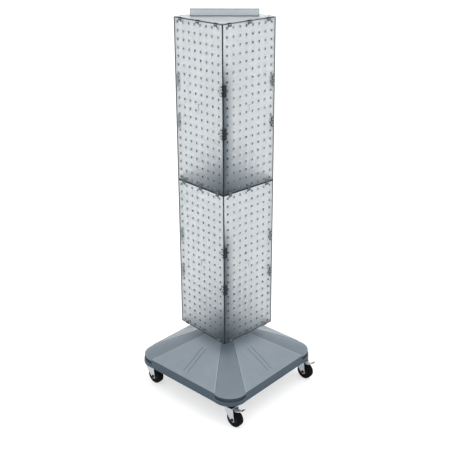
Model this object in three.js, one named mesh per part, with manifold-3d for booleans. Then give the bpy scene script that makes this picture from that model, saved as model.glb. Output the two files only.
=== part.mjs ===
// Four-sided revolving pegboard tower on a wheeled, pyramid-shaped base. Millimetres, +Z up, floor at Z = 0.
import * as THREE from 'three';
import { mergeVertices } from 'three/addons/utils/BufferGeometryUtils.js';
import Module from 'manifold-3d';

const wasm = await Module();
wasm.setup();

const GAP = 0.3;

// Tower
const TOWER_WIDTH = 212;
const TOWER_BOTTOM = 222;
const LEVEL_HEIGHT = 508;
const PANEL_THICKNESS = 3;
const PLATE_THICKNESS = 3;
const PLATE_SIZE = TOWER_WIDTH - 2 * PANEL_THICKNESS - 2 * GAP;
const TAB_OFFSETS = [-78, 0, 78];
const TAB_WIDTH = 14;
const NOTCH_WIDTH = TAB_WIDTH + 2 * GAP;
const KNOB_RADIUS = 5.7;
const KNOB_PROUD = 1.4;
const KNOB_SPACING = 24;
const KNOB_INSET = 7;
const KNOB_HEIGHTS = [190, 318];
const CATCH_SIZE = [11, 5, 40];

// Sign holder
const SIGN_LENGTH = 203;
const SIGN_HEIGHT = 21;
const SIGN_SLOT = 6.5;
const SIGN_WALL = 1.6;
const SIGN_FLOOR = 2.5;

// Base: half widths, crease set-backs and corner bulges of its outlines
const BASE_YAW = THREE.MathUtils.degToRad(5);
const RIM_BOTTOM = 77;
const RIM_TOP = 92;
const BAND_TOP = 105;
const SKIRT_TOP = 108;
const PLATEAU_TOP = 188;
const SHELL_WALL = 4;
const RIM_OUTLINE = { half: 216, setback: 70, bulge: 26.5 };
const BAND_OUTLINE = { half: 215.4, setback: 70, bulge: 19.5 };
const SKIRT_OUTLINE = { half: 215, setback: 70, bulge: 25.5 };
const PLATEAU_OUTLINE = { half: 63.5, setback: 28, bulge: 6 };
const ARC_STEPS = 8;
const BOSS_RADIUS = 18;

// Turntable
const PIVOT_RADIUS = 6;
const PIVOT_HOLE = 7;
const RACE_RADIUS = 48;
const BALL_RADIUS = 4;
const BALL_CIRCLE = 38;
const BALL_COUNT = 8;
const LOWER_RACE_TOP = 196;
const UPPER_RACE_BOTTOM = LOWER_RACE_TOP + 2 * BALL_RADIUS;

// Casters
const CASTER_OFFSET = 182;
const CASTER_TRAIL = 20;
const WHEEL_RADIUS = 27.5;
const WHEEL_WIDTH = 22;
const HUB_RADIUS = 14;
const AXLE_RADIUS = 4;
const STEM_RADIUS = 5.5;
const STEM_TOP = 107;
const RACE_TOP = 73;
const FORK_TOP = 67;
const FORK_SHEET = 2.2;
const FORK_INNER = WHEEL_WIDTH / 2 + 1.6;
const BRAKE_PIVOT = [7, 60.5];
const PEDAL_REACH = 52;
const PEDAL_HALF = 8.5;
const CROWN_END = 20;
const CASTERS = {
  front_left: [-1, -1], front_right: [1, -1], rear_right: [1, 1], rear_left: [-1, 1],
};

const material = (color, metalness = 0, roughness = 0.5, opacity = 1) => new THREE.MeshStandardMaterial({
  color, metalness, roughness, opacity, transparent: opacity < 1,
});
const LOOKS = {
  clear: material(0xdfe9ee, 0, 0.25, 0.5),
  base: material(0x95a0aa, 0, 0.5),
  steel: material(0xb9bcc0, 0.9, 0.35),
  tyre: material(0x17181a, 0, 0.7),
  hub: material(0x2a2b2e, 0, 0.6),
};

const group = new THREE.Group();
group.name = 'revolving_pegboard_tower';

function closed(geometry) {
  const clean = geometry.clone();
  clean.deleteAttribute('normal');
  clean.deleteAttribute('uv');
  return mergeVertices(clean, 1e-4);
}

function toManifold(geometry) {
  const clean = closed(geometry);
  return new wasm.Manifold(new wasm.Mesh({
    numProp: 3,
    vertProperties: Float32Array.from(clean.attributes.position.array),
    triVerts: Uint32Array.from(clean.index.array),
  }));
}

function fromManifold(solid) {
  const mesh = solid.getMesh();
  const geometry = new THREE.BufferGeometry();
  geometry.setAttribute('position', new THREE.BufferAttribute(mesh.vertProperties, 3));
  geometry.setIndex(new THREE.BufferAttribute(mesh.triVerts, 1));
  return geometry;
}

function combine(first, { add = [], subtract = [] }) {
  let solid = toManifold(first);
  for (const geometry of add) solid = solid.add(toManifold(geometry));
  for (const geometry of subtract) solid = solid.subtract(toManifold(geometry));
  return fromManifold(solid);
}

function trimmed(geometry, limit) {
  return fromManifold(toManifold(geometry).intersect(toManifold(limit)));
}

function piece(name, geometry, look, place = new THREE.Matrix4()) {
  const moved = geometry.clone().applyMatrix4(place);
  const faceted = moved.index ? moved.toNonIndexed() : moved;
  faceted.computeVertexNormals();
  const mesh = new THREE.Mesh(faceted, LOOKS[look]);
  mesh.name = name;
  group.add(mesh);
}

// A box given by its two corners.
function box(low, high) {
  const size = high.map((value, i) => value - low[i]);
  return new THREE.BoxGeometry(...size).translate(...low.map((value, i) => value + size[i] / 2));
}

// A solid of revolution about +Z from [radius, z] points that start and end on the axis or close on themselves.
function turned(points, segments) {
  const profile = points.map(([radius, z]) => new THREE.Vector2(radius, z));
  return new THREE.LatheGeometry(profile, segments).rotateX(Math.PI / 2);
}

function disc(radius, low, high, segments = 32) {
  return turned([[0, low], [radius, low], [radius, high], [0, high]], segments);
}

function ring(inner, outer, low, high, segments = 32) {
  return turned([[inner, low], [outer, low], [outer, high], [inner, high], [inner, low]], segments);
}

// ---- Tower panels: a pinwheel of four alike panels on each level ----

function panelGeometry() {
  const width = TOWER_WIDTH - PANEL_THICKNESS - GAP;
  const height = LEVEL_HEIGHT - GAP;
  const left = -TOWER_WIDTH / 2 + PANEL_THICKNESS + GAP;
  const outer = -TOWER_WIDTH / 2;
  const slab = box([left, outer, 0], [left + width, outer + PANEL_THICKNESS, height]);
  const add = [];
  const subtract = [];
  for (const middle of KNOB_HEIGHTS) {
    for (const side of [-1, 1]) {
      const knob = disc(KNOB_RADIUS, 0, KNOB_PROUD + 1, 16).rotateX(Math.PI / 2);
      add.push(knob.translate(left + width - KNOB_INSET, outer + 1, middle + side * KNOB_SPACING / 2));
    }
    const [wide, deep, tall] = CATCH_SIZE;
    const inner = outer + PANEL_THICKNESS;
    add.push(box([left + 1, inner - 1, middle - tall / 2], [left + wide, inner + deep, middle + tall / 2]));
  }
  const notch = PLATE_THICKNESS / 2 + GAP;
  for (const offset of TAB_OFFSETS) {
    const span = [offset - NOTCH_WIDTH / 2, offset + NOTCH_WIDTH / 2];
    subtract.push(box([span[0], outer - 1, -1], [span[1], outer + PANEL_THICKNESS + 1, notch]));
    subtract.push(box([span[0], outer - 1, height - notch], [span[1], outer + PANEL_THICKNESS + 1, height + 1]));
  }
  return combine(slab, { add, subtract });
}

// A square plate whose twelve tabs sit in the notches of the panels.
function plateGeometry(hole) {
  const half = PLATE_SIZE / 2;
  const reach = TOWER_WIDTH / 2 + 1;
  const thick = PLATE_THICKNESS / 2;
  const plate = box([-half, -half, -thick], [half, half, thick]);
  const add = [];
  for (const offset of TAB_OFFSETS) {
    const span = [offset - TAB_WIDTH / 2, offset + TAB_WIDTH / 2];
    add.push(box([span[0], -reach, -thick], [span[1], reach, thick]));
    add.push(box([-reach, span[0], -thick], [reach, span[1], thick]));
  }
  return combine(plate, { add, subtract: hole ? [disc(hole, -5, 5, 24)] : [] });
}

const panel = panelGeometry();
const FACES = ['front', 'right', 'back', 'left'];
FACES.forEach((face, turn) => {
  ['lower', 'upper'].forEach((level, floor) => {
    const place = new THREE.Matrix4().makeRotationZ(turn * Math.PI / 2);
    place.setPosition(0, 0, TOWER_BOTTOM + floor * LEVEL_HEIGHT + GAP / 2);
    piece(`panel_${level}_${face}`, panel, 'clear', place);
  });
});

const plateHeights = {
  bottom_plate: TOWER_BOTTOM, middle_plate: TOWER_BOTTOM + LEVEL_HEIGHT, top_plate: TOWER_BOTTOM + 2 * LEVEL_HEIGHT,
};
for (const [name, height] of Object.entries(plateHeights)) {
  const plate = plateGeometry(name === 'bottom_plate' ? PIVOT_HOLE : 0);
  piece(name, plate, 'clear', new THREE.Matrix4().makeTranslation(0, 0, height));
}

const topFace = TOWER_BOTTOM + 2 * LEVEL_HEIGHT + PLATE_THICKNESS / 2;
const signDepth = SIGN_SLOT + 2 * SIGN_WALL;
const signBlock = box([-SIGN_LENGTH / 2, -signDepth / 2, 0], [SIGN_LENGTH / 2, signDepth / 2, SIGN_HEIGHT]);
const signSlot = box([-SIGN_LENGTH, -SIGN_SLOT / 2, SIGN_FLOOR], [SIGN_LENGTH, SIGN_SLOT / 2, SIGN_HEIGHT + 1]);
const signPlace = new THREE.Matrix4().makeRotationZ(Math.PI / 4).setPosition(0, 0, topFace + GAP);
piece('sign_holder', combine(signBlock, { subtract: [signSlot] }), 'clear', signPlace);

// ---- Base ----

// A square outline with bulging round corners: the arcs run from crease to crease.
function outline({ half, setback, bulge }, z) {
  const chord = setback / Math.SQRT2;
  const radius = (chord * chord + bulge * bulge) / (2 * bulge);
  const reach = Math.asin(chord / radius);
  const middle = (2 * half - setback) / Math.SQRT2 + bulge - radius;
  const points = [];
  for (let corner = 0; corner < 4; corner += 1) {
    const facing = Math.PI / 4 + corner * Math.PI / 2;
    for (let step = 0; step <= ARC_STEPS; step += 1) {
      const angle = facing + reach * (2 * step / ARC_STEPS - 1);
      points.push([
        middle * Math.cos(facing) + radius * Math.cos(angle),
        middle * Math.sin(facing) + radius * Math.sin(angle),
        z,
      ]);
    }
  }
  return points;
}

// Closed skin through rings of equally many points, capped flat at both ends.
function skin(rings) {
  const count = rings[0].length;
  const index = [];
  for (let level = 0; level + 1 < rings.length; level += 1) {
    for (let i = 0; i < count; i += 1) {
      const j = (i + 1) % count;
      const [a, b, c, d] = [level * count + i, level * count + j, (level + 1) * count + j, (level + 1) * count + i];
      index.push(a, b, c, a, c, d);
    }
  }
  const flat = rings[0].map(([x, y]) => new THREE.Vector2(x, y));
  const last = (rings.length - 1) * count;
  for (const [a, b, c] of THREE.ShapeUtils.triangulateShape(flat, [])) index.push(a, c, b);
  const end = rings[rings.length - 1].map(([x, y]) => new THREE.Vector2(x, y));
  for (const [a, b, c] of THREE.ShapeUtils.triangulateShape(end, [])) index.push(last + a, last + b, last + c);
  const geometry = new THREE.BufferGeometry();
  geometry.setAttribute('position', new THREE.Float32BufferAttribute(rings.flat(2), 3));
  geometry.setIndex(index);
  return geometry;
}

const inset = (shape, by) => ({ ...shape, half: shape.half - by });

function baseShell() {
  const outside = skin([
    outline(RIM_OUTLINE, RIM_BOTTOM),
    outline(RIM_OUTLINE, RIM_TOP - 1),
    outline(BAND_OUTLINE, RIM_TOP),
    outline(BAND_OUTLINE, BAND_TOP - 1),
    outline(SKIRT_OUTLINE, BAND_TOP),
    outline(SKIRT_OUTLINE, SKIRT_TOP),
    outline(PLATEAU_OUTLINE, PLATEAU_TOP),
  ]);
  const inside = skin([
    outline(inset(BAND_OUTLINE, SHELL_WALL), RIM_BOTTOM - 1),
    outline(inset(BAND_OUTLINE, SHELL_WALL + 2), SKIRT_TOP - SHELL_WALL),
    outline(inset(PLATEAU_OUTLINE, 1), PLATEAU_TOP - SHELL_WALL),
  ]);
  const bosses = [];
  const bores = [disc(PIVOT_HOLE, PLATEAU_TOP - 20, PLATEAU_TOP + 20, 24)];
  for (const [sx, sy] of Object.values(CASTERS)) {
    const [x, y] = [sx * CASTER_OFFSET, sy * CASTER_OFFSET];
    bosses.push(trimmed(disc(BOSS_RADIUS, RACE_TOP + GAP, SKIRT_TOP + 30, 24).translate(x, y, 0), outside));
    bores.push(disc(STEM_RADIUS + GAP, RACE_TOP - 5, STEM_TOP + GAP, 16).translate(x, y, 0));
  }
  const hollow = combine(outside, { subtract: [inside] });
  return combine(hollow, { add: bosses, subtract: bores });
}

const yawed = new THREE.Matrix4().makeRotationZ(BASE_YAW);
piece('base_shell', baseShell(), 'base', yawed);

// ---- Turntable ----

const lowerRace = combine(ring(PIVOT_RADIUS + GAP, RACE_RADIUS, PLATEAU_TOP + GAP, LOWER_RACE_TOP), {
  subtract: [ring(BALL_CIRCLE - 3, BALL_CIRCLE + 3, LOWER_RACE_TOP - 2, LOWER_RACE_TOP + 2)],
});
piece('turntable_lower_race', lowerRace, 'steel', yawed);

const cageMiddle = LOWER_RACE_TOP + BALL_RADIUS - 0.5;
const balls = [];
for (let i = 0; i < BALL_COUNT; i += 1) {
  const angle = i * 2 * Math.PI / BALL_COUNT;
  const ball = new THREE.IcosahedronGeometry(BALL_RADIUS - 0.6, 0);
  balls.push(ball.translate(BALL_CIRCLE * Math.cos(angle), BALL_CIRCLE * Math.sin(angle), cageMiddle));
}
const cageRing = ring(BALL_CIRCLE - 6, BALL_CIRCLE + 6, cageMiddle - 1, cageMiddle + 1, 24);
piece('turntable_ball_cage', combine(cageRing, { add: balls }), 'steel');

const rotorTop = TOWER_BOTTOM - PLATE_THICKNESS / 2 - GAP;
const upperRace = turned([
  [PIVOT_HOLE, UPPER_RACE_BOTTOM - 1], [RACE_RADIUS, UPPER_RACE_BOTTOM - 1], [RACE_RADIUS, UPPER_RACE_BOTTOM + 5],
  [RACE_RADIUS + 22, rotorTop - 4], [RACE_RADIUS + 22, rotorTop], [PIVOT_HOLE, rotorTop],
  [PIVOT_HOLE, UPPER_RACE_BOTTOM - 1],
], 32);
piece('turntable_rotor', upperRace, 'base');

const boltHeadTop = PLATEAU_TOP - SHELL_WALL - GAP;
const boltTop = TOWER_BOTTOM + PLATE_THICKNESS / 2 + 14;
const pivotBolt = turned([
  [0, boltHeadTop - 8], [13, boltHeadTop - 8], [13, boltHeadTop], [PIVOT_RADIUS, boltHeadTop],
  [PIVOT_RADIUS, boltTop], [0, boltTop],
], 24);
piece('pivot_bolt', pivotBolt, 'steel', yawed);
const nutLow = TOWER_BOTTOM + PLATE_THICKNESS / 2 + GAP;
piece('pivot_nut', ring(PIVOT_RADIUS + GAP, 13, nutLow, nutLow + 9, 24), 'steel', yawed);

// ---- Casters: built with the swivel axis at the origin and the wheel trailing towards +X ----

// A sheet in the XZ plane, thick along Y.
function sheet(points, low, high) {
  const shape = new THREE.Shape(points.map(([x, z]) => new THREE.Vector2(x, z)));
  const geometry = new THREE.ExtrudeGeometry(shape, { depth: high - low, bevelEnabled: false });
  return geometry.rotateX(Math.PI / 2).translate(0, high, 0);
}

function rodAlongY(radius, low, high, x, z, segments = 20) {
  return disc(radius, low, high, segments).rotateX(-Math.PI / 2).translate(x, 0, z);
}

function forkGeometry() {
  const outer = FORK_INNER + FORK_SHEET;
  const side = [
    [-15, FORK_TOP], [CASTER_TRAIL - 9, WHEEL_RADIUS - 4], [CASTER_TRAIL - 5, WHEEL_RADIUS - 8],
    [CASTER_TRAIL + 5, WHEEL_RADIUS - 8], [CASTER_TRAIL + 9, WHEEL_RADIUS - 3], [CROWN_END + 3, FORK_TOP - 6],
    [CROWN_END, FORK_TOP],
  ];
  const crown = box([-16, -outer, FORK_TOP - 2.5], [CROWN_END, outer, FORK_TOP]);
  const axleHoles = rodAlongY(AXLE_RADIUS + GAP, -40, 40, CASTER_TRAIL, WHEEL_RADIUS);
  const stem = disc(STEM_RADIUS, FORK_TOP - 1, STEM_TOP, 16);
  return combine(crown, {
    add: [sheet(side, FORK_INNER, outer), sheet(side, -outer, -FORK_INNER), stem],
    subtract: [axleHoles],
  });
}

function axleGeometry() {
  const end = FORK_INNER + FORK_SHEET + GAP;
  const shank = rodAlongY(AXLE_RADIUS, -end - 1, end + 1, CASTER_TRAIL, WHEEL_RADIUS);
  const heads = [-1, 1].map((side) => {
    const [low, high] = side < 0 ? [-end - 3, -end] : [end, end + 3];
    return rodAlongY(6, low, high, CASTER_TRAIL, WHEEL_RADIUS, 12);
  });
  return combine(shank, { add: heads });
}

function tyreGeometry() {
  const half = WHEEL_WIDTH / 2;
  const profile = [
    [HUB_RADIUS + GAP, -half], [WHEEL_RADIUS - 4, -half], [WHEEL_RADIUS - 1, -half + 3], [WHEEL_RADIUS, 0],
    [WHEEL_RADIUS - 1, half - 3], [WHEEL_RADIUS - 4, half], [HUB_RADIUS + GAP, half], [HUB_RADIUS + GAP, -half],
  ];
  return turned(profile, 24).rotateX(-Math.PI / 2).translate(CASTER_TRAIL, 0, WHEEL_RADIUS);
}

function hubGeometry() {
  const half = WHEEL_WIDTH / 2;
  const profile = [
    [AXLE_RADIUS + GAP, -half - 1], [8, -half - 1], [8, -half + 2], [HUB_RADIUS, -half + 2], [HUB_RADIUS, half - 2],
    [8, half - 2], [8, half + 1], [AXLE_RADIUS + GAP, half + 1], [AXLE_RADIUS + GAP, -half - 1],
  ];
  return turned(profile, 24).rotateX(-Math.PI / 2).translate(CASTER_TRAIL, 0, WHEEL_RADIUS);
}

// The brake pedal turns about a cross axis at the back of the fork.
function brakeGeometry() {
  const [px, pz] = BRAKE_PIVOT;
  const profile = [
    [px - 3, pz - 1.2], [px, pz - 1.7], [px + 24, pz - 1.7], [px + 38, pz + 4], [px + PEDAL_REACH, pz + 12],
    [px + PEDAL_REACH, pz + 14], [px + 37, pz + 6], [px + 23, pz + 0.3], [px + 3, pz + 0.3], [px, pz + 1.7],
    [px - 3, pz + 1.2],
  ];
  return sheet(profile, -PEDAL_HALF, PEDAL_HALF);
}

for (const [name, [sx, sy]] of Object.entries(CASTERS)) {
  const place = yawed.clone().multiply(
    new THREE.Matrix4().makeTranslation(sx * CASTER_OFFSET, sy * CASTER_OFFSET, 0),
  );
  const race = ring(STEM_RADIUS + GAP, 15, FORK_TOP + GAP, RACE_TOP, 24);
  piece(`caster_${name}_swivel_race`, race, 'hub', place);
  piece(`caster_${name}_fork`, forkGeometry(), 'steel', place);
  piece(`caster_${name}_axle`, axleGeometry(), 'steel', place);
  piece(`caster_${name}_tyre`, tyreGeometry(), 'tyre', place);
  piece(`caster_${name}_hub`, hubGeometry(), 'hub', place);
  piece(`caster_${name}_brake_pedal`, brakeGeometry(), 'steel', place);
}

export default group;
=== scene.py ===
"""Revolving pegboard tower display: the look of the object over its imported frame.

The shapes are worked out in millimetres and made in metres. +Z is up, and the front corner is between -Y and +X.
"""

import math

import bmesh
import bpy
from mathutils import Matrix, Vector


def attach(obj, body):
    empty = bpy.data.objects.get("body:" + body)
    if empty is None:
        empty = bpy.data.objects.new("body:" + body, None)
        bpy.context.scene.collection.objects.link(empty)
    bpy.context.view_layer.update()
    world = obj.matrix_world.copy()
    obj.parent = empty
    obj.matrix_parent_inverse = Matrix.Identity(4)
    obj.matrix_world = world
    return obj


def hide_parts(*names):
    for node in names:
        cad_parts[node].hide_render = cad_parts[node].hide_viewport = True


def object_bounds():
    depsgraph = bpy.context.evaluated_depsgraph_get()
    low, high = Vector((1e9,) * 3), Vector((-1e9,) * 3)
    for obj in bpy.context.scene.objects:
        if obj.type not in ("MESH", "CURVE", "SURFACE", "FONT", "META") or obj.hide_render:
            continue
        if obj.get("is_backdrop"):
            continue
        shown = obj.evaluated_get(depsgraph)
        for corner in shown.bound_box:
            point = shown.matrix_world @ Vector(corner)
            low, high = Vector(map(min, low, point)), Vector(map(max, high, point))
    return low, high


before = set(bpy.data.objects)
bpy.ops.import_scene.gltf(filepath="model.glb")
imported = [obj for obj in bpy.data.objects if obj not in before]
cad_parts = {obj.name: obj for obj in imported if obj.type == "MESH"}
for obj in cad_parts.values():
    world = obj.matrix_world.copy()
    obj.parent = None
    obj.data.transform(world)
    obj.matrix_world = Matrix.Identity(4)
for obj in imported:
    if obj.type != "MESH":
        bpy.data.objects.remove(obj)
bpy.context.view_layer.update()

MM = 0.001
YAW = 5  # degrees, of the base and casters against the tower

# Tower
HALF = 106.0
BOTTOM, LEVEL = 222.0, 508.0
SHEET = 3.0
GAP = 0.3
PITCH, COLUMNS, ROWS = 25.4, 8, 20
HOLE, BORE = 3.7, 2.5  # radii of a peg hole at its bevel and inside
HOLE_STEPS = 16
HOLE_LIP = 0.5
# Rows of holes by the corner of a dark panel that are painted near-black: painted shade.
CORNER_SHADED_ROWS = 15
TABS = (-78.0, 0.0, 78.0)
KNOB_MIDDLES = (190.0, 318.0)
PIVOT_HOLE = 7.0

# Painted shade on the panels near two opposite corners, darkest just above each floor plate. Lengths are in metres, a
# SLOPE is a ratio and an EXTRA is a strength.
CORNER_SHADE_RISE, CORNER_SHADE_SLOPE, CORNER_SHADE_WIDTH = 0.12, 0.51, 0.25
FOOT_RISE, FOOT_FADE, FOOT_WIDTH, FOOT_EXTRA = 0.15, 0.05, 0.09, 0.35
STRIP_RISE, STRIP_FADE, STRIP_WIDTH = 0.40, 0.07, 0.045

# Base. A shape is half its width, how far its corners are set back, and how far they bulge.
RIM = (216.0, 70.0, 26.5)
SKIRT = (215.0, 70.0, 25.5)
PLATEAU = (63.5, 28.0, 6.0)
RIM_BOTTOM, RIM_TOP, BAND_TOP, SKIRT_TOP, PLATEAU_TOP = 77.0, 92.0, 105.0, 108.0, 188.0
BAND_DEPTH = 6.0
FAN_DROP = 2.0
GROOVES = ((-42.0, 0.35), (-11.0, 1.0), (5.0, 1.0))  # place across a side, and strength
GROOVE_HALF = 5.2
GROOVE_DEPTH = 2.4
SHELL = 4.0
# The base's grey is painted lighter towards the plateau: painted reflection of the bright tower.
CREST_FOOT, CREST_RISE = 0.12, 0.06  # in metres: where the base's colour starts to lighten, and over what height

# Casters
CASTERS = {"front_left": (-1, -1), "front_right": (1, -1), "rear_right": (1, 1), "rear_left": (-1, 1)}
OFFSET, TRAIL, WHEEL = 182.0, 20.0, 27.5
CROWN = 67.0
PEDAL_PIVOT = (7.0, 60.5)
PEDAL_HALF = 8.5

# Camera
CAMERA_PLACE = (1.7716, -1.6191, 1.5943)  # metres
CAMERA_TURN = (47.626, 20.808, -0.362)  # azimuth, elevation and roll in degrees


# ---------------------------------------------------------------- materials

def new_material(name):
    mat = bpy.data.materials.new(name)
    mat.use_nodes = True
    nodes = mat.node_tree.nodes
    return mat, nodes, mat.node_tree.links, nodes["Principled BSDF"]


def bump(nodes, links, shader, texture, strength, distance):
    node = nodes.new("ShaderNodeBump")
    node.inputs["Strength"].default_value = strength
    node.inputs["Distance"].default_value = distance
    links.new(texture, node.inputs["Height"])
    links.new(node.outputs["Normal"], shader.inputs["Normal"])


def noise(nodes, links, scale, detail=2.0):
    place = nodes.new("ShaderNodeTexCoord")
    node = nodes.new("ShaderNodeTexNoise")
    node.inputs["Scale"].default_value = scale
    node.inputs["Detail"].default_value = detail
    links.new(place.outputs["Object"], node.inputs["Vector"])
    return node


def blend(nodes, links, amount, low, high):
    """Colour between low and high; each is a colour or another node's output."""
    node = nodes.new("ShaderNodeMix")
    node.data_type = "RGBA"
    links.new(amount, node.inputs[0])
    for socket, value in ((node.inputs[6], low), (node.inputs[7], high)):
        if isinstance(value, tuple):
            socket.default_value = (*value, 1)
        else:
            links.new(value, socket)
    return node.outputs[2]


def sums(nodes, links, kind, first, second=None, clamp=False):
    """A Math node's output. Each value is a number or another node's output."""
    node = nodes.new("ShaderNodeMath")
    node.operation = kind
    node.use_clamp = clamp
    for socket, value in zip(node.inputs, (first, second)):
        if isinstance(value, (int, float)):
            socket.default_value = value
        elif value is not None:
            links.new(value, socket)
    return node.outputs["Value"]


def clear_material(name, colour, seen, rough):
    """Clear plastic: part see-through, part milky body."""
    mat, nodes, links, shader = new_material(name)
    shader.inputs["Base Color"].default_value = (*colour, 1)
    shader.inputs["Roughness"].default_value = rough
    shader.inputs["IOR"].default_value = 1.5
    shader.inputs["Transmission Weight"].default_value = seen
    return mat, nodes, links, shader


def panel_material(name, colour, shade_colour, strip):
    """Clear pebbled sheet with painted shade above each floor plate near two opposite corners.

    With strip, the corner itself takes painted shade too, most of the way up each level.
    """
    mat, nodes, links, shader = clear_material(name, colour, 0.9, 0.4)
    shader.inputs["Specular Tint"].default_value = (0.84, 0.95, 1.0, 1)
    pebbles = noise(nodes, links, 290.0, 1.0)
    spread = nodes.new("ShaderNodeMapRange")
    spread.inputs["From Min"].default_value = 0.38
    spread.inputs["From Max"].default_value = 0.54
    links.new(pebbles.outputs["Fac"], spread.inputs["Value"])
    speckled = blend(nodes, links, spread.outputs["Result"], tuple(c * 0.84 for c in colour), colour)
    bump(nodes, links, shader, pebbles.outputs["Fac"], 0.35, 0.0006)

    def work(*terms, **more):
        return sums(nodes, links, *terms, **more)

    place = nodes.new("ShaderNodeTexCoord")
    split = nodes.new("ShaderNodeSeparateXYZ")
    links.new(place.outputs["Object"], split.inputs["Vector"])
    x, y, z = (split.outputs[axis] for axis in "XYZ")
    along = work("SUBTRACT", 2 * HALF * MM, work("ABSOLUTE", work("SUBTRACT", x, y)))
    above = work("FLOORED_MODULO", work("SUBTRACT", z, BOTTOM * MM), LEVEL * MM)

    def near_corner(width):
        return work("SUBTRACT", 1.0, work("DIVIDE", along, width), clamp=True)

    reach = work("SUBTRACT", CORNER_SHADE_RISE, work("MULTIPLY", along, CORNER_SHADE_SLOPE))
    foot = work("DIVIDE", work("SUBTRACT", BOTTOM * MM + FOOT_RISE, z), FOOT_FADE, clamp=True)
    foot = work("MULTIPLY", work("MULTIPLY", foot, FOOT_EXTRA), near_corner(FOOT_WIDTH))
    fade = work("ADD", foot, work("SUBTRACT", 1.0, work("DIVIDE", above, reach)), clamp=True)
    dark = work("MULTIPLY", work("POWER", fade, 0.9), near_corner(CORNER_SHADE_WIDTH))
    if strip:
        below = work("DIVIDE", work("SUBTRACT", STRIP_RISE, above), STRIP_FADE, clamp=True)
        dark = work("MAXIMUM", dark, work("MULTIPLY", near_corner(STRIP_WIDTH), below))
    # Painted shade: the colour turns to the shade colour and the gloss drops where dark is high.
    links.new(blend(nodes, links, dark, speckled, shade_colour), shader.inputs["Base Color"])
    links.new(work("SUBTRACT", 0.5, work("MULTIPLY", dark, 0.48)), shader.inputs["Specular IOR Level"])
    return mat


def moulded_material(name, colour, rough, gloss=0.5, mottle=0.04, grain=900.0, crest=None):
    """Moulded plastic with a slight mottle. With a crest it takes that colour towards the top of the base."""
    mat, nodes, links, shader = new_material(name)
    shader.inputs["Roughness"].default_value = rough
    shader.inputs["Specular IOR Level"].default_value = gloss
    texture = noise(nodes, links, grain, 3.0)
    darker, lighter = (tuple(c * scale for c in colour) for scale in (1 - mottle, 1 + mottle))
    tint = blend(nodes, links, texture.outputs["Fac"], darker, lighter)
    # The crest is painted light: the colour lightens towards the top of the base.
    if crest:
        place = nodes.new("ShaderNodeTexCoord")
        split = nodes.new("ShaderNodeSeparateXYZ")
        links.new(place.outputs["Object"], split.inputs["Vector"])
        above = sums(nodes, links, "SUBTRACT", split.outputs["Z"], CREST_FOOT)
        tint = blend(nodes, links, sums(nodes, links, "DIVIDE", above, CREST_RISE, clamp=True), tint, crest)
    links.new(tint, shader.inputs["Base Color"])
    bump(nodes, links, shader, noise(nodes, links, 900.0).outputs["Fac"], 0.12, 0.0002)
    return mat


def metal_material(name, colour, rough):
    mat, nodes, links, shader = new_material(name)
    shader.inputs["Base Color"].default_value = (*colour, 1)
    shader.inputs["Metallic"].default_value = 1.0
    texture = noise(nodes, links, 500.0)
    spread = nodes.new("ShaderNodeMapRange")
    spread.inputs["To Min"].default_value = rough - 0.06
    spread.inputs["To Max"].default_value = rough + 0.08
    links.new(texture.outputs["Fac"], spread.inputs["Value"])
    links.new(spread.outputs["Result"], shader.inputs["Roughness"])
    return mat


# Painted shade colour for the panels near two opposite corners; the second panel material also paints it up the
# corner itself.
SHEET_TINT, CORNER_SHADE_COLOUR = (0.955, 0.986, 1.0), (0.02, 0.07, 0.11)
PANEL = panel_material("panel_plastic", SHEET_TINT, CORNER_SHADE_COLOUR, False)
PANEL_ODD = panel_material("panel_plastic_corner_shaded", SHEET_TINT, CORNER_SHADE_COLOUR, True)
RIB = clear_material("panel_rib", (0.36, 0.41, 0.45), 0.3, 0.35)[0]
PLATE = clear_material("plate_plastic", (0.72, 0.80, 0.85), 0.6, 0.3)[0]
LID = clear_material("lid_plastic", (0.74, 0.79, 0.81), 0.6, 0.3)[0]
SIGN = clear_material("sign_plastic", (0.66, 0.715, 0.75), 0.3, 0.25)[0]
# Near-black painted edge lines for the clear parts, standing in for the dark look that light bending at a clear edge
# gives.
DARK_EDGE = moulded_material("painted_dark_edge", (0.008, 0.014, 0.018), 0.45, 0.15)
# Dark grey painted shade on the bores and bevels of the peg holes; the seam lugs take the same grey.
HOLE_SHADE = moulded_material("hole_shade", (0.082, 0.108, 0.126), 0.5, 0.3)
# Near-black painted shade for the holes and catches by the corner of the dark panels.
CORNER_SHADE_DARK = moulded_material("painted_corner_shade", (0.008, 0.014, 0.018), 0.4, 0.3)
CLOUDY = {"mottle": 0.12, "grain": 26.0}
# Lighter grey painted towards the base's top: painted reflection.
CREST = (0.225, 0.265, 0.303)
GREY = moulded_material("grey_plastic", (0.190, 0.226, 0.262), 0.42, 0.5, crest=CREST, **CLOUDY)
# Darker grey for the corner fans, the band's corners and the groove floors: painted shade.
FAN = moulded_material("grey_plastic_corner", (0.134, 0.168, 0.198), 0.46, 0.5, **CLOUDY)
# Much darker grey for the skirt, the underside and the caster bosses: painted shade on faces turned away from the
# light.
SIDE = moulded_material("grey_plastic_skirt", (0.036, 0.060, 0.084), 0.5, 0.35, **CLOUDY)
SHADE = moulded_material("grey_recess", (0.042, 0.058, 0.074), 0.55, 0.3)
# A lighter grey strip along the creases: painted highlight.
CREASE_HIGHLIGHT = moulded_material("grey_plastic_crease_highlight", (0.30, 0.335, 0.37), 0.4)
STEEL = metal_material("zinc_steel", (0.50, 0.52, 0.55), 0.34)
PEDAL = metal_material("pedal_steel", (0.80, 0.82, 0.84), 0.4)
RUBBER = moulded_material("black_rubber", (0.0025, 0.003, 0.004), 0.7, 0.06)
BLACK = moulded_material("black_plastic", (0.006, 0.007, 0.009), 0.5, 0.15)


# ---------------------------------------------------------------- mesh helpers

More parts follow.
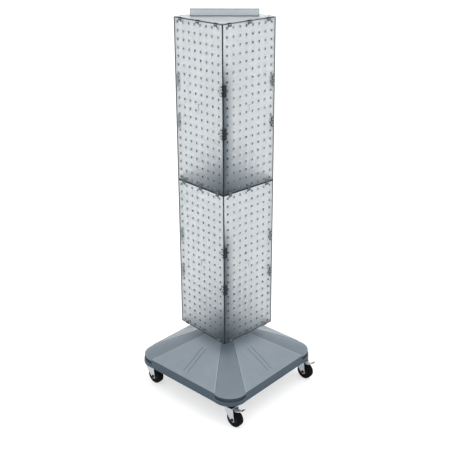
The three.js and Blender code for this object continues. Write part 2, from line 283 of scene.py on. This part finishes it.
def made(name, points, faces, mats, body, slot, nodes=(), place=None, faces_mat=None, smooth=35.0, bevel=0.0):
    """A mesh from points in millimetres, placed, smoothed, and fixed to its CAD body.

    It stands in for the CAD nodes given.
    """
    mesh = bpy.data.meshes.new(name)
    move = place or Matrix.Identity(4)
    mesh.from_pydata([(move @ Vector(p)) * MM for p in points], [], faces)
    mats = mats if isinstance(mats, (list, tuple)) else [mats]
    for mat in mats:
        mesh.materials.append(mat)
    if faces_mat:
        for polygon, index in zip(mesh.polygons, faces_mat):
            polygon.material_index = index
    work = bmesh.new()
    work.from_mesh(mesh)
    bmesh.ops.remove_doubles(work, verts=work.verts, dist=1e-6)
    bmesh.ops.recalc_face_normals(work, faces=work.faces)
    work.to_mesh(mesh)
    work.free()
    obj = bpy.data.objects.new(name, mesh)
    bpy.context.scene.collection.objects.link(obj)
    if bevel:
        soften = obj.modifiers.new("bevel", "BEVEL")
        soften.width = bevel * MM
        soften.segments = 2
        soften.limit_method = "ANGLE"
        soften.angle_limit = math.radians(32)
    mesh.shade_smooth()
    mesh.set_sharp_from_angle(angle=math.radians(smooth))
    if nodes:
        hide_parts(*nodes)
    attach(obj, body)
    return obj


class Parts:
    """Collects closed solids, each with a material index, into one mesh."""

    def __init__(self):
        self.points, self.faces, self.mats = [], [], []

    def add(self, points, faces, mat=0, place=None):
        start = len(self.points)
        self.points += [tuple(place @ Vector(p)) if place else tuple(p) for p in points]
        self.faces += [[start + i for i in face] for face in faces]
        self.mats += [mat] * len(faces)

    def box(self, low, high, mat=0, place=None):
        (x0, y0, z0), (x1, y1, z1) = low, high
        points = [(x, y, z) for z in (z0, z1) for x, y in ((x0, y0), (x1, y0), (x1, y1), (x0, y1))]
        faces = [(3, 2, 1, 0), (4, 5, 6, 7)] + [(i, (i + 1) % 4, (i + 1) % 4 + 4, i + 4) for i in range(4)]
        self.add(points, faces, mat, place)

    def lathe(self, profile, mat=0, place=None, steps=32):
        """Turned about Z. The profile closes on itself, or starts and ends on the axis."""
        closed = profile[0][0] > 1e-6
        count = len(profile)
        points = [
            (r * math.cos(2 * math.pi * k / steps), r * math.sin(2 * math.pi * k / steps), z)
            for k in range(steps) for r, z in profile
        ]
        faces = []
        for k in range(steps):
            a, b = k * count, (k + 1) % steps * count
            for i in range(count if closed else count - 1):
                j = (i + 1) % count
                faces.append((a + i, b + i, b + j, a + j))
        self.add(points, faces, mat, place)

    def plate(self, outline, low, high, mat=0, place=None):
        """An outline in XZ, thick along Y."""
        count = len(outline)
        points = [(x, y, z) for y in (low, high) for x, z in outline]
        faces = [list(range(count)), list(range(2 * count - 1, count - 1, -1))]
        faces += [(i, i + count, (i + 1) % count + count, (i + 1) % count) for i in range(count)]
        self.add(points, faces, mat, place)

    def make(self, name, mats, body, slot, nodes=(), **more):
        return made(name, self.points, self.faces, mats, body, slot, nodes, faces_mat=self.mats, **more)


def turn(axis, degrees):
    return Matrix.Rotation(math.radians(degrees), 4, axis)


def shift(x, y, z):
    return Matrix.Translation((x, y, z))


# ---------------------------------------------------------------- pegboard panels

# Material slots of a panel
CLEAR, LINE, HAZE, CORNER_SHADED, SHADED = range(5)


def round_and_square(steps, radius, half):
    """Points of a circle, and the points of a square around it in the same directions."""
    turns = [(math.cos(2 * math.pi * k / steps), math.sin(2 * math.pi * k / steps)) for k in range(steps)]
    grown = [half / max(abs(c), abs(s)) for c, s in turns]
    return [(c * radius, s * radius) for c, s in turns], [(c * g, s * g) for (c, s), g in zip(turns, grown)]


def panel_mesh(dark):
    """One perforated panel, front face at Y = -HALF, its foot at Z = 0.

    It is made of one square cell per hole. A dark one has holes painted near-black by its left end: painted shade
    near the corner.
    """
    sheet = Parts()
    height = LEVEL - GAP
    left, right = -HALF + SHEET + GAP, HALF
    front, back = -HALF, -HALF + SHEET
    rim, border = round_and_square(HOLE_STEPS, HOLE, PITCH / 2)
    hole, _ = round_and_square(HOLE_STEPS, BORE, PITCH / 2)
    levels = (
        (border, front), (rim, front), (hole, front + HOLE_LIP), (hole, back - HOLE_LIP), (rim, back), (border, back),
    )
    fix_x = {-COLUMNS / 2 * PITCH: left, COLUMNS / 2 * PITCH: right}
    for row in range(ROWS):
        for column in range(COLUMNS):
            x0, z0 = (column - COLUMNS / 2 + 0.5) * PITCH, (row + 0.5) * PITCH
            loops = []
            for ring, y in levels:
                loop = []
                for u, w in ring:
                    x, z = x0 + u, z0 + w
                    if ring is border:
                        x = next((v for k, v in fix_x.items() if abs(x - k) < 1e-6), x)
                    loop.append((x, y, min(z, height)))
                loops.append(loop)
            points = [p for loop in loops for p in loop]
            for level in range(len(loops) - 1):
                a = level * HOLE_STEPS
                faces = []
                for k in range(HOLE_STEPS):
                    j = (k + 1) % HOLE_STEPS
                    faces.append((a + k, a + j, a + j + HOLE_STEPS, a + k + HOLE_STEPS))
                # Bores by the corner of a dark panel are painted near-black: painted shade.
                wall = CORNER_SHADED if dark and column == 0 and row < CORNER_SHADED_ROWS else SHADED
                sheet.add(points, faces, wall if 0 < level < 4 else CLEAR)
            last = (len(loops) - 1) * HOLE_STEPS
            edges = []
            for k in range(HOLE_STEPS):
                j = (k + 1) % HOLE_STEPS
                (ax, _, az), (bx, _, bz) = points[k], points[j]
                outer = any(abs(ax - v) < 1e-6 and abs(bx - v) < 1e-6 for v in (left, right))
                outer = outer or any(abs(az - v) < 1e-6 and abs(bz - v) < 1e-6 for v in (0.0, height))
                if outer:
                    edges.append((k, j, last + j, last + k))
            # The outer edge faces take the painted dark edge colour.
            sheet.add(points, edges, LINE)
    return sheet


def panel_details(sheet, leg, dark):
    """Edge beads, corner catches, edge lugs and the hang mark of one panel.

    leg is the side of each lug's leg. A dark panel has catches painted dark and a slanting flange inside its left
    end, both put there as painted shade near the corner.
    """
    left, right = -HALF + SHEET + GAP, HALF
    front, back = -HALF, -HALF + SHEET
    height = LEVEL - GAP
    # Edge beads in the painted dark edge colour.
    sheet.box((right - 2.0, front - 0.3, 0.2), (right - 0.05, front + 0.2, height - 0.2), LINE)
    sheet.box((left + 0.1, front - 0.3, 0.1), (right - 0.1, front + 0.2, 2.5), LINE)
    sheet.box((left + 0.1, front - 0.3, height - 2.0), (right - 0.1, front + 0.2, height - 0.1), LINE)
    if dark:
        # The flange is a sheet put in to shade the corner; it carries the panel's painted corner shade.
        reach = math.hypot(22, 15)
        flange = shift(left + 0.6, back + 0.4, 0) @ turn("Z", math.degrees(math.atan2(15, 22)))
        sheet.box((0, 0, 5), (reach, 1.0, height * 0.8), CLEAR, flange)
    for middle in KNOB_MIDDLES:
        for side in (-1, 1):
            place = shift(right - 6.6, front, middle + side * 9) @ turn("X", -90)
            sheet.lathe([(0, -2.2), (3.6, -2.2), (4.6, -1.7), (5.0, -0.8), (5.0, 0.6), (0, 0.6)], CLEAR, place, 20)
            # The knob's ring takes the painted dark edge colour.
            sheet.lathe([(4.9, -1.3), (6.1, -1.3), (6.3, -0.9), (6.3, 0.4), (4.9, 0.4)], LINE, place, 24)
            low, high = sorted((middle + side * 1, middle + side * 16))
            # A dark panel's catches are painted near-black: painted shade near the corner.
            sheet.box((left + 1.2, front - 0.9, low), (left + 10.6, front + 0.2, high), CORNER_SHADED if dark else CLEAR)
        # On a dark panel the catch strips take the near-black edge colour: painted shade near the corner.
        low, high = middle - 17, middle + 17
        sheet.box((left + 0.6, front - 0.5, low), (left + 11.2, front + 0.2, high), LINE if dark else HAZE)
        low, high = middle - 20, middle + 20
        sheet.box((left + 0.6, back - 0.4, low), (left + 10.6, back + 5, high), LINE if dark else CLEAR)
    for x in TABS:
        for z, up in ((0, 1), (height, -1)):
            low, high = sorted((z + up * (0.4 if up > 0 else 3.0), z + up * (6.4 if up > 0 else 8.8)))
            sheet.box((x - 7.0, front - 1.1, low), (x + 7.0, front + 0.2, high), SHADED)
            low, high = sorted((z + up * 0.5, z + up * 11.5))
            near, far = sorted((x + leg * 3.8, x + leg * 6.8))
            sheet.box((near, front - 1.3, low), (far, front + 0.2, high), SHADED)
        sheet.box((x - 5, back - 0.2, 4), (x + 5, back + 2.4, 14), CLEAR)
    middle = height / 2
    sheet.box((-1.4, front - 0.5, middle - 12), (0.4, front + 0.2, middle + 9), HAZE)
    sheet.box((-1.4, front - 0.5, middle + 7), (4.4, front + 0.2, middle + 9.2), HAZE)


for number, face in enumerate(("front", "right", "back", "left")):
    odd = number % 2 == 1
    mats = [PANEL_ODD if odd else PANEL, DARK_EDGE, RIB, CORNER_SHADE_DARK, HOLE_SHADE]
    sheet = panel_mesh(odd)
    panel_details(sheet, -1 if odd else 1, odd)
    for floor, level in enumerate(("lower", "upper")):
        place = turn("Z", 90 * number) @ shift(0, 0, BOTTOM + floor * LEVEL + GAP / 2)
        sheet.make(
            f"pegboard_{level}_{face}", mats, "tower", "clear_plastic", [f"panel_{level}_{face}"],
            place=place, smooth=40,
        )


# ---------------------------------------------------------------- plates and sign holder

def drilled_square(half, hole, low, high, steps=32):
    """A square slab with a round hole through its middle."""
    bore, edge = round_and_square(steps, hole, half)
    levels = ((edge, low), (edge, high), (bore, high), (bore, low))
    points = [(x, y, z) for ring, z in levels for x, y in ring]
    faces = []
    for level in range(4):
        a, b = level * steps, (level + 1) % 4 * steps
        faces += [(a + k, a + (k + 1) % steps, b + (k + 1) % steps, b + k) for k in range(steps)]
    return points, faces


def plate(name, z, lip, mat, hole=0):
    """A square floor plate with its tabs and a shallow stiffening lip."""
    solid = Parts()
    half = HALF - SHEET - GAP
    if hole:
        solid.add(*drilled_square(half, hole, z - 1.5, z + 1.5))
    else:
        solid.box((-half, -half, z - 1.5), (half, half, z + 1.5))
    for x in TABS:
        for side in range(4):
            # The tabs take the painted dark edge colour.
            solid.box((x - 7, -HALF - 1.0, z - 1.5), (x + 7, -half + 0.5, z + 1.5), 1, turn("Z", 90 * side))
    if lip:
        low, high = (-half + 3, -half + 0.6, z + 1.2), (half - 3, -half + 2.2, z + 1.2 + lip)
        for side in range(4):
            solid.box(low, high, 0, turn("Z", 90 * side))
    solid.make(f"{name}_look", [mat, DARK_EDGE], "tower", "clear_plastic", [name], bevel=0.4)


plate("bottom_plate", BOTTOM, 7, PLATE, PIVOT_HOLE)
plate("middle_plate", BOTTOM + LEVEL, 7, PLATE)
plate("top_plate", BOTTOM + 2 * LEVEL, 0, LID)

sign = Parts()
foot = BOTTOM + 2 * LEVEL + 1.5 + GAP
top = foot + 21
half_slot, wall, length = 3.25, 1.6, 101.5
outer = half_slot + wall
outline = [
    (-outer, foot), (outer, foot), (outer, top), (half_slot, top),
    (half_slot, foot + 2.5), (-half_slot, foot + 2.5), (-half_slot, top), (-outer, top),
]
sign.plate(outline, -length, length, 0, turn("Z", 135))
for side in (-1, 1):
    low, high = sorted((side * half_slot, side * (outer + 0.5)))
    # The holder's strips take the painted dark edge colour.
    sign.box((-length, low, foot), (length, high, foot + 1.6), 1, turn("Z", 45))
    low, high = sorted((side * (half_slot + 0.2), side * (outer + 0.1)))
    sign.box((-length, low, top - 1.1), (length, high, top - 0.1), 1, turn("Z", 45))
    for end in (-1, 1):
        near, far = sorted((end * (length - 1.2), end * length))
        sign.box((near, low, foot + 1), (far, high, top - 0.1), 1, turn("Z", 45))
sign.make("sign_holder_look", [SIGN, DARK_EDGE], "tower", "clear_plastic", ["sign_holder"], bevel=0.3)


# ---------------------------------------------------------------- base

# Places along a corner arc, from crease (-1) to crease (1), packed close where the corner steps down.
STEP = 0.045
ARC = [-1, -1 + STEP / 2, -1 + STEP] + [-0.9 + 1.8 * k / 14 for k in range(15)] + [1 - STEP, 1 - STEP / 2, 1]
SOFT = 2.2


def step_weight(t):
    return min(1.0, (1 - abs(t)) / STEP)


def outline_points(shape, height, inward=0.0, drop=0.0, groove=0.0):
    """One ring of the base: four round corners that can be set in or lowered, and straight grooved sides."""
    half, setback, bulge = shape
    chord = setback / math.sqrt(2)
    radius = (chord * chord + bulge * bulge) / (2 * bulge)
    reach = math.asin(chord / radius)
    middle = (2 * half - setback) / math.sqrt(2) + bulge - radius
    points = []
    for corner in range(4):
        facing = math.pi / 4 + corner * math.pi / 2
        for t in ARC:
            weight = step_weight(t)
            angle = facing + reach * t
            r = radius - inward * weight
            points.append((
                middle * math.cos(facing) + r * math.cos(angle),
                middle * math.sin(facing) + r * math.sin(angle),
                height - drop * (0.15 + 0.85 * weight),
            ))
        side = turn("Z", 90 * (corner + 2))
        edge = half - setback
        across = [(-edge + SOFT, 0.0)]
        for x, strength in GROOVES:
            scale = min(1.0, edge / 60)
            for offset, depth in ((-1, 0), (-0.35, 1), (0.35, 1), (1, 0)):
                across.append(((x + offset * GROOVE_HALF) * scale, depth * strength))
        across.append((edge - SOFT, 0.0))
        points += [tuple(side @ Vector((x, -half, height - groove * depth))) for x, depth in across]
    return points


def blend_shape(a, b, t):
    return tuple(p + (q - p) * t for p, q in zip(a, b))


def tapered(t, **more):
    """A ring on the sloping faces, from the skirt's edge (0) to the plateau (1)."""
    z = SKIRT_TOP + (PLATEAU_TOP - SKIRT_TOP) * t
    return outline_points(blend_shape(SKIRT, PLATEAU, t), z, **more)


def grown(shape, by):
    return (shape[0] + by, shape[1], shape[2])


# Each ring gives the side and corner materials of the band above it; the darker corner grey and the skirt grey are
# painted shade.
outer_rings = [
    (outline_points(grown(RIM, -3), RIM_BOTTOM), SIDE, SIDE),
    (outline_points(grown(RIM, -0.8), RIM_BOTTOM), SIDE, SIDE),
    (outline_points(RIM, RIM_BOTTOM + 0.8), SIDE, SIDE),
    (outline_points(RIM, RIM_BOTTOM + 3.6), SIDE, SIDE),
    (outline_points(grown(RIM, -0.7), RIM_BOTTOM + 4.4), SIDE, SIDE),
    (outline_points(grown(RIM, -0.7), RIM_TOP - 1.2), SIDE, SIDE),
    (outline_points(grown(RIM, -0.9), RIM_TOP - 0.5, inward=0.8), SIDE, SHADE),
    (outline_points(grown(RIM, -0.9), RIM_TOP, inward=BAND_DEPTH), SIDE, SHADE),
    (outline_points(grown(SKIRT, -0.1), BAND_TOP - 1.2, inward=BAND_DEPTH), SIDE, SHADE),
    (outline_points(grown(SKIRT, -0.1), BAND_TOP - 0.8, inward=0.3), SIDE, FAN),
    (outline_points(grown(SKIRT, -0.3), BAND_TOP, inward=0.1), SIDE, FAN),
    (outline_points(grown(SKIRT, -0.9), SKIRT_TOP - 0.5, drop=2.0), GREY, FAN),
    (outline_points(grown(SKIRT, -1.8), SKIRT_TOP, drop=2.0), GREY, FAN),
    (tapered(0.03, drop=FAN_DROP), GREY, FAN),
    (tapered(0.09, drop=FAN_DROP), GREY, FAN),
    (tapered(0.13, drop=FAN_DROP, groove=GROOVE_DEPTH), GREY, FAN),
    (tapered(0.40, drop=FAN_DROP, groove=GROOVE_DEPTH), GREY, FAN),
    (tapered(0.72, drop=FAN_DROP, groove=GROOVE_DEPTH), GREY, FAN),
    (tapered(0.80, drop=FAN_DROP), GREY, FAN),
    (tapered(0.96, drop=FAN_DROP * 0.6), GREY, FAN),
    (tapered(1.0), GREY, GREY),
]
inner_rings = [
    outline_points(grown(PLATEAU, -1), PLATEAU_TOP - SHELL), outline_points(grown(SKIRT, -6), SKIRT_TOP - SHELL),
    outline_points(grown(RIM, -5), RIM_BOTTOM + 0.5), outline_points(grown(RIM, -3), RIM_BOTTOM),
]
base = Parts()
count = len(inner_rings[0])
per_corner = count // 4
BASE_MATS = [GREY, FAN, SIDE, SHADE, CREASE_HIGHLIGHT]
GROOVED = (15, 16)  # the bands between rings that have groove floors


def loft(low, high, side, corner, grooved=False):
    """A band between two rings, with one material on the straight sides and one on the corners."""
    faces = {mat: [] for mat in BASE_MATS}
    for i in range(count):
        place = i % per_corner
        floor = grooved and place > len(ARC) + 4 and (place - len(ARC) - 2) % 4 == 0
        crease = side is GREY and place in (len(ARC) - 1, per_corner - 1)
        # Crease strips take the painted highlight and groove floors the painted shade.
        mat = corner if place < len(ARC) - 1 else CREASE_HIGHLIGHT if crease else FAN if floor else side
        faces[mat].append((i, (i + 1) % count, (i + 1) % count + count, i + count))
    for mat, group in faces.items():
        base.add(low + high, group, BASE_MATS.index(mat))


for number, ((low, side, corner), (high, _, _)) in enumerate(zip(outer_rings, outer_rings[1:])):
    loft(low, high, side, corner, grooved=number in GROOVED)
for low, high in zip(inner_rings, inner_rings[1:]):
    loft(low, high, SIDE, SIDE)
for ring, z in ((outer_rings[-1][0], PLATEAU_TOP), (inner_rings[0], PLATEAU_TOP - SHELL)):
    scaled = [(x, y, PIVOT_HOLE / math.hypot(x, y)) for x, y, _ in ring]
    inside = [(x * scale, y * scale, z) for x, y, scale in scaled]
    loft(ring, inside, GREY, GREY)
rim, low, high = PIVOT_HOLE + 0.02, PLATEAU_TOP - SHELL - 0.1, PLATEAU_TOP + 0.1
base.lathe([(PIVOT_HOLE, low), (PIVOT_HOLE, high), (rim, high), (rim, low)], 0, None, 48)
for sx, sy in CASTERS.values():
    boss = [(5.8, 73.3), (14.6, 73.3), (15.5, 74.4), (15.5, 105), (10, 105), (10, 111), (5.8, 111)]
    base.lathe(boss, 2, shift(sx * OFFSET, sy * OFFSET, 0), 32)
base.make("base_shell_look", BASE_MATS, "base", "grey_plastic", ["base_shell"], place=turn("Z", YAW), smooth=24)


# ---------------------------------------------------------------- turntable

for node, mat in (
    ("turntable_lower_race", STEEL), ("turntable_ball_cage", STEEL), ("turntable_rotor", GREY),
    ("pivot_bolt", STEEL), ("pivot_nut", STEEL),
):
    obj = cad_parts[node]
    obj.data.materials.clear()
    obj.data.materials.append(mat)


# ---------------------------------------------------------------- casters

def arc(cx, cz, radius, start, end, steps):
    return [
        (cx + radius * math.cos(math.radians(start + (end - start) * i / steps)),
         cz + radius * math.sin(math.radians(start + (end - start) * i / steps)))
        for i in range(steps + 1)
    ]


def along_y(x, y, z):
    return shift(x, y, z) @ turn("X", -90)


def caster(name, place):
    inner, thick = 12.6, 2.2
    outer = inner + thick
    prefix = f"caster_{name}"
    swivel, wheel, brake = f"swivel_{name}", f"wheel_{name}", f"brake_{name}"

    race = Parts()
    steps = [(5.8, 0.3), (13.4, 0.3), (15, 1.4), (15, 3), (14, 3.4), (15, 3.9), (15, 5.2), (14, 6), (5.8, 6)]
    race.lathe(steps, 0, shift(0, 0, CROWN), 40)
    race.make(f"{prefix}_race_look", BLACK, "base", "black_plastic", [f"{prefix}_swivel_race"], place=place)

    fork = Parts()
    side = [(-15.0, CROWN), (-15.2, CROWN - 4), (-9.0, CROWN - 16), (8.0, WHEEL + 2)]
    side += arc(TRAIL, WHEEL, 8.2, 200, 340, 10) + [(24.0, CROWN - 11), (22.0, CROWN - 4), (20.0, CROWN)]
    for low, high in ((inner, outer), (-outer, -inner)):
        fork.plate(side, low, high)
    fork.box((-16, -outer, CROWN - 2.5), (20, outer, CROWN))
    fork.lathe([(0, -1), (5.5, -1), (5.5, 39), (4.5, 40), (0, 40)], 0, shift(0, 0, CROWN), 24)
    fork.make(f"{prefix}_fork_look", STEEL, swivel, "zinc_steel", [f"{prefix}_fork"], place=place, bevel=0.7)

    axle = Parts()
    for end, flip in ((outer + 0.1, -90), (-outer - 0.1, 90)):
        head = shift(TRAIL, end, WHEEL) @ turn("X", flip)
        profile = [(0, 0), (6.0, 0), (6.0, 0.8), (5.0, 0.9), (5.0, 2.4), (4.2, 3.2), (0, 3.2)]
        axle.lathe(profile, 0, head, 6 if flip > 0 else 24)
    axle.lathe([(0, -outer), (4, -outer), (4, outer), (0, outer)], 0, along_y(TRAIL, 0, WHEEL), 20)
    axle.make(f"{prefix}_axle_look", BLACK, swivel, "zinc_steel", [f"{prefix}_axle"], place=place, bevel=0.2)

    tyre = Parts()
    profile = [
        (14.3, -10.2), (22.6, -11), (25.1, -10.5), (26.8, -9.0), (27.35, -7.0), (27.5, 0),
        (27.35, 7.0), (26.8, 9.0), (25.1, 10.5), (22.6, 11), (14.3, 10.2),
    ]
    tyre.lathe(profile, 0, along_y(TRAIL, 0, WHEEL), 56)
    tyre.make(f"{prefix}_tyre_look", RUBBER, wheel, "black_rubber", [f"{prefix}_tyre"], place=place)

    hub = Parts()
    profile = [
        (4.4, -12), (7.6, -12), (8.2, -11.4), (8.6, -9.4), (13.2, -8.6), (14.2, -9.4),
        (14.2, 9.4), (13.2, 8.6), (8.6, 9.4), (8.2, 11.4), (7.6, 12), (4.4, 12),
    ]
    hub.lathe(profile, 0, along_y(TRAIL, 0, WHEEL), 40)
    hub.make(f"{prefix}_hub_look", BLACK, wheel, "black_plastic", [f"{prefix}_hub"], place=place)

    pedal = Parts()
    pivot = shift(PEDAL_PIVOT[0], 0, PEDAL_PIVOT[1])
    lever = [
        (-3, -1.0), (0, -1.6), (24, -1.6), (30, -0.4), (31, 1.9),
        (29, 1.4), (23, 0.2), (3, 0.2), (0, 1.5), (-3, 1.1),
    ]
    toe = [(30, -0.4), (38, 4.2), (46, 8.4), (52, 12.2), (52, 13.9), (45, 10.2), (37, 6.0), (31, 1.9)]
    for outline in (lever, toe):
        pedal.plate(outline, -PEDAL_HALF, PEDAL_HALF, 0, pivot)
    for x in (43.0, 46.0, 49.0):
        z = 10.2 + (x - 45) * 0.53
        pedal.box((x - 0.6, -7, z - 0.6), (x + 0.6, 7, z + 0.8), 1, pivot)
    pedal.make(
        f"{prefix}_brake_pedal_look", [PEDAL, BLACK], brake, "zinc_steel", [f"{prefix}_brake_pedal"],
        place=place, bevel=0.4,
    )


for name, (sx, sy) in CASTERS.items():
    caster(name, turn("Z", YAW) @ shift(sx * OFFSET, sy * OFFSET, 0))


# ---------------------------------------------------------------- floor, light and camera

def stage_plane():
    bpy.ops.mesh.primitive_plane_add(size=40, location=(0, 0, 0))
    floor = bpy.context.object
    floor.name = "floor"
    mat, _, _, shader = new_material("floor_white")
    shader.inputs["Base Color"].default_value = (0.5, 0.5, 0.5, 1)
    shader.inputs["Roughness"].default_value = 0.9
    shader.inputs["Specular IOR Level"].default_value = 0.1
    shader.inputs["Emission Color"].default_value = (1.0, 1.0, 1.0, 1)
    shader.inputs["Emission Strength"].default_value = 0.57
    floor.data.materials.append(mat)
    floor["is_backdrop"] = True


def sun(name, direction, strength, spread):
    """Light that comes from a direction, the same all over the floor."""
    data = bpy.data.lights.new(name, "SUN")
    data.energy = strength
    data.angle = math.radians(spread)
    obj = bpy.data.objects.new(name, data)
    obj.rotation_mode = "QUATERNION"
    obj.rotation_quaternion = (-Vector(direction)).to_track_quat("-Z", "Y")
    bpy.context.scene.collection.objects.link(obj)


def studio_world(ambient, seen):
    """An even white surround, brighter where the camera sees it directly."""
    world = bpy.data.worlds.new("studio")
    world.use_nodes = True
    nodes, links = world.node_tree.nodes, world.node_tree.links
    background = nodes["Background"]
    background.inputs["Color"].default_value = (1, 1, 1, 1)
    path = nodes.new("ShaderNodeLightPath")
    level = nodes.new("ShaderNodeMapRange")
    level.inputs["To Min"].default_value = ambient
    level.inputs["To Max"].default_value = seen
    links.new(path.outputs["Is Camera Ray"], level.inputs["Value"])
    links.new(level.outputs["Result"], background.inputs["Strength"])
    bpy.context.scene.world = world


stage_plane()
sun("sun_back", (0.9, 0.35, 1.9), 0.55, 50)
sun("sun_front", (-0.1, -0.8, 2.4), 0.5, 60)
studio_world(1.07, 1.02)
bpy.context.scene.view_settings.view_transform = "Standard"

azimuth, elevation, roll = (math.radians(angle) for angle in CAMERA_TURN)
flat = math.cos(elevation)
back = Vector((math.sin(azimuth) * flat, -math.cos(azimuth) * flat, math.sin(elevation)))
right = Vector((math.cos(azimuth), math.sin(azimuth), 0))
up = back.cross(right)
right, up = math.cos(roll) * right + math.sin(roll) * up, -math.sin(roll) * right + math.cos(roll) * up
lens = bpy.data.cameras.new("camera")
lens.sensor_width = 36
lens.lens = 64.61
lens.shift_y = -0.07
lens.clip_end = 60
camera = bpy.data.objects.new("camera", lens)
camera.matrix_world = Matrix([(*row, place) for *row, place in zip(right, up, back, CAMERA_PLACE)] + [(0, 0, 0, 1)])
bpy.context.scene.collection.objects.link(camera)
bpy.context.scene.camera = camera

low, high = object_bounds()
